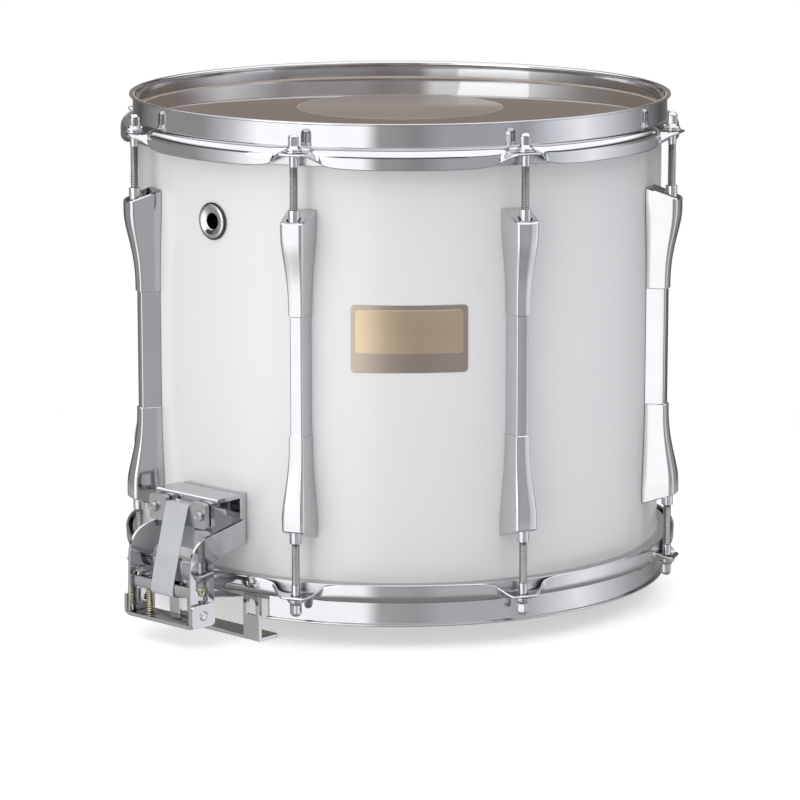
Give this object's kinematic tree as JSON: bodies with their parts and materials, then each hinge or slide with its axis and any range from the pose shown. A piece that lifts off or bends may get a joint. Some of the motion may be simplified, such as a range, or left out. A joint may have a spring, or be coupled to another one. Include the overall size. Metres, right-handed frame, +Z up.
{
  "type": "marching snare drum",
  "caption": "Marching snare drum: white shell, chrome rims, tube lugs and rods, and a strap-clamped snare unit with bridge and guard on each side.",
  "frame": {"origin": "the drum's axis, at the height of the guards' undersides", "axes": "+Z up along the drum's axis, +X along the snare wires towards the throw-off"},
  "size_m": [0.4632, 0.38, 0.3436],
  "materials": {
    "shell_finish": "gloss",
    "chrome": "polished chrome",
    "satin_metal": "satin",
    "batter_film": "gloss",
    "snare_film": "hazy clear",
    "snare_wire": "bright",
    "zinc": "yellow zinc",
    "strap_plastic": "translucent"
  },
  "bodies": {
    "drum": {"shell": "shell_finish", "vent_grommet": "chrome", "batter_head": "batter_film", "snare_head": "snare_film", "batter_rim": "chrome", "snare_rim": "chrome", "lug_1": "chrome", "lug_2": "chrome", "lug_3": "chrome", "lug_4": "chrome", "lug_5": "chrome", "lug_6": "chrome", "lug_7": "chrome", "lug_8": "chrome", "butt_frame": "chrome", "butt_cross_bar": "chrome", "butt_guard": "chrome", "butt_spring_left": "zinc", "butt_spring_right": "zinc", "throw_frame": "chrome", "throw_cross_bar": "chrome", "throw_guard": "chrome", "throw_spring_left": "zinc", "throw_spring_right": "zinc", "butt_hanger": "chrome", "butt_clamp_front": "satin_metal", "butt_clamp_screw_left": "chrome", "butt_clamp_screw_right": "chrome", "butt_strap": "strap_plastic", "throw_housing": "chrome", "throw_strap": "strap_plastic"},
    "snares": {"snare_wires": "snare_wire"},
    "batter_rod_1": {"batter_rod_1": "chrome"},
    "batter_rod_2": {"batter_rod_2": "chrome"},
    "batter_rod_3": {"batter_rod_3": "chrome"},
    "batter_rod_4": {"batter_rod_4": "chrome"},
    "batter_rod_5": {"batter_rod_5": "chrome"},
    "batter_rod_6": {"batter_rod_6": "chrome"},
    "batter_rod_7": {"batter_rod_7": "chrome"},
    "batter_rod_8": {"batter_rod_8": "chrome"},
    "snare_rod_1": {"snare_rod_1": "chrome"},
    "snare_rod_2": {"snare_rod_2": "chrome"},
    "snare_rod_3": {"snare_rod_3": "chrome"},
    "snare_rod_4": {"snare_rod_4": "chrome"},
    "snare_rod_5": {"snare_rod_5": "chrome"},
    "snare_rod_6": {"snare_rod_6": "chrome"},
    "snare_rod_7": {"snare_rod_7": "chrome"},
    "snare_rod_8": {"snare_rod_8": "chrome"},
    "butt_bridge": {"butt_bridge": "chrome"},
    "butt_height_screw_left": {"butt_height_screw_left": "zinc"},
    "butt_height_screw_right": {"butt_height_screw_right": "zinc"},
    "throw_bridge": {"throw_bridge": "chrome"},
    "throw_height_screw_left": {"throw_height_screw_left": "zinc"},
    "throw_height_screw_right": {"throw_height_screw_right": "zinc"},
    "lever": {"throw_lever": "chrome"},
    "carriage": {"throw_carriage": "chrome", "throw_clamp_front": "satin_metal", "throw_clamp_screw_left": "chrome", "throw_clamp_screw_right": "chrome"},
    "tension_knob": {"throw_tension_knob": "satin_metal"}
  },
  "joints": [
    {"name": "batter_rod_1_turn", "type": "hinge", "parent": "drum", "child": "batter_rod_1", "pos_m": [0.17831, 0.07386, 0.33], "axis": [0, 0, 1], "range_deg": [-1080, 1080]},
    {"name": "batter_rod_2_turn", "type": "hinge", "parent": "drum", "child": "batter_rod_2", "pos_m": [0.07386, 0.17831, 0.33], "axis": [0, 0, 1], "range_deg": [-1080, 1080]},
    {"name": "batter_rod_3_turn", "type": "hinge", "parent": "drum", "child": "batter_rod_3", "pos_m": [-0.07386, 0.17831, 0.33], "axis": [0, 0, 1], "range_deg": [-1080, 1080]},
    {"name": "batter_rod_4_turn", "type": "hinge", "parent": "drum", "child": "batter_rod_4", "pos_m": [-0.17831, 0.07386, 0.33], "axis": [0, 0, 1], "range_deg": [-1080, 1080]},
    {"name": "batter_rod_5_turn", "type": "hinge", "parent": "drum", "child": "batter_rod_5", "pos_m": [-0.17831, -0.07386, 0.33], "axis": [0, 0, 1], "range_deg": [-1080, 1080]},
    {"name": "batter_rod_6_turn", "type": "hinge", "parent": "drum", "child": "batter_rod_6", "pos_m": [-0.07386, -0.17831, 0.33], "axis": [0, 0, 1], "range_deg": [-1080, 1080]},
    {"name": "batter_rod_7_turn", "type": "hinge", "parent": "drum", "child": "batter_rod_7", "pos_m": [0.07386, -0.17831, 0.33], "axis": [0, 0, 1], "range_deg": [-1080, 1080]},
    {"name": "batter_rod_8_turn", "type": "hinge", "parent": "drum", "child": "batter_rod_8", "pos_m": [0.17831, -0.07386, 0.33], "axis": [0, 0, 1], "range_deg": [-1080, 1080]},
    {"name": "snare_rod_1_turn", "type": "hinge", "parent": "drum", "child": "snare_rod_1", "pos_m": [0.17831, 0.07386, 0.029], "axis": [0, 0, 1], "range_deg": [-1080, 1080]},
    {"name": "snare_rod_2_turn", "type": "hinge", "parent": "drum", "child": "snare_rod_2", "pos_m": [0.07386, 0.17831, 0.029], "axis": [0, 0, 1], "range_deg": [-1080, 1080]},
    {"name": "snare_rod_3_turn", "type": "hinge", "parent": "drum", "child": "snare_rod_3", "pos_m": [-0.07386, 0.17831, 0.029], "axis": [0, 0, 1], "range_deg": [-1080, 1080]},
    {"name": "snare_rod_4_turn", "type": "hinge", "parent": "drum", "child": "snare_rod_4", "pos_m": [-0.17831, 0.07386, 0.029], "axis": [0, 0, 1], "range_deg": [-1080, 1080]},
    {"name": "snare_rod_5_turn", "type": "hinge", "parent": "drum", "child": "snare_rod_5", "pos_m": [-0.17831, -0.07386, 0.029], "axis": [0, 0, 1], "range_deg": [-1080, 1080]},
    {"name": "snare_rod_6_turn", "type": "hinge", "parent": "drum", "child": "snare_rod_6", "pos_m": [-0.07386, -0.17831, 0.029], "axis": [0, 0, 1], "range_deg": [-1080, 1080]},
    {"name": "snare_rod_7_turn", "type": "hinge", "parent": "drum", "child": "snare_rod_7", "pos_m": [0.07386, -0.17831, 0.029], "axis": [0, 0, 1], "range_deg": [-1080, 1080]},
    {"name": "snare_rod_8_turn", "type": "hinge", "parent": "drum", "child": "snare_rod_8", "pos_m": [0.17831, -0.07386, 0.029], "axis": [0, 0, 1], "range_deg": [-1080, 1080]},
    {"name": "butt_bridge_height", "type": "slide", "parent": "drum", "child": "butt_bridge", "axis": [0, 0, 1], "range_m": [-0.0028, 0.0028], "deforming": ["butt_spring_left", "butt_spring_right", "butt_strap"]},
    {"name": "butt_height_screw_left_turn", "type": "hinge", "parent": "butt_bridge", "child": "butt_height_screw_left", "pos_m": [-0.22, 0.0195, 0.037], "axis": [0, 0, 1], "range_deg": [-1441, 1441]},
    {"name": "butt_height_screw_right_turn", "type": "hinge", "parent": "butt_bridge", "child": "butt_height_screw_right", "pos_m": [-0.22, -0.0195, 0.037], "axis": [0, 0, 1], "range_deg": [-1441, 1441]},
    {"name": "throw_bridge_height", "type": "slide", "parent": "drum", "child": "throw_bridge", "axis": [0, 0, 1], "range_m": [-0.0028, 0.0028], "deforming": ["throw_spring_left", "throw_spring_right", "throw_strap"]},
    {"name": "throw_height_screw_left_turn", "type": "hinge", "parent": "throw_bridge", "child": "throw_height_screw_left", "pos_m": [0.22, -0.0195, 0.037], "axis": [0, 0, 1], "range_deg": [-1441, 1441]},
    {"name": "throw_height_screw_right_turn", "type": "hinge", "parent": "throw_bridge", "child": "throw_height_screw_right", "pos_m": [0.22, 0.0195, 0.037], "axis": [0, 0, 1], "range_deg": [-1441, 1441]},
    {"name": "throw_off_lever", "type": "hinge", "parent": "drum", "child": "lever", "pos_m": [0.19, 0, 0.113], "axis": [0, 1, 0], "range_deg": [0, 100]},
    {"name": "carriage_slide", "type": "slide", "parent": "drum", "child": "carriage", "axis": [0, 0, -1], "range_m": [0, 0.008], "deforming": ["throw_strap"]},
    {"name": "snare_drop", "type": "slide", "parent": "drum", "child": "snares", "axis": [0, 0, -1], "range_m": [0, 0.0015]},
    {"name": "tension_knob_turn", "type": "hinge", "parent": "carriage", "child": "tension_knob", "pos_m": [0.2025, 0, 0.062], "axis": [0, 0, 1], "range_deg": [-1080, 1080]}
  ],
  "couplings": [
    {"joint": "butt_height_screw_left_turn", "follows": "butt_bridge_height", "rad_per_m": 8976},
    {"joint": "butt_height_screw_right_turn", "follows": "butt_bridge_height", "rad_per_m": 8976},
    {"joint": "throw_height_screw_left_turn", "follows": "throw_bridge_height", "rad_per_m": 8976},
    {"joint": "throw_height_screw_right_turn", "follows": "throw_bridge_height", "rad_per_m": 8976},
    {"joint": "throw_off_lever", "follows": "carriage_slide", "rad_per_m": 218.16},
    {"joint": "snare_drop", "follows": "carriage_slide", "ratio": 0.1874}
  ]
}
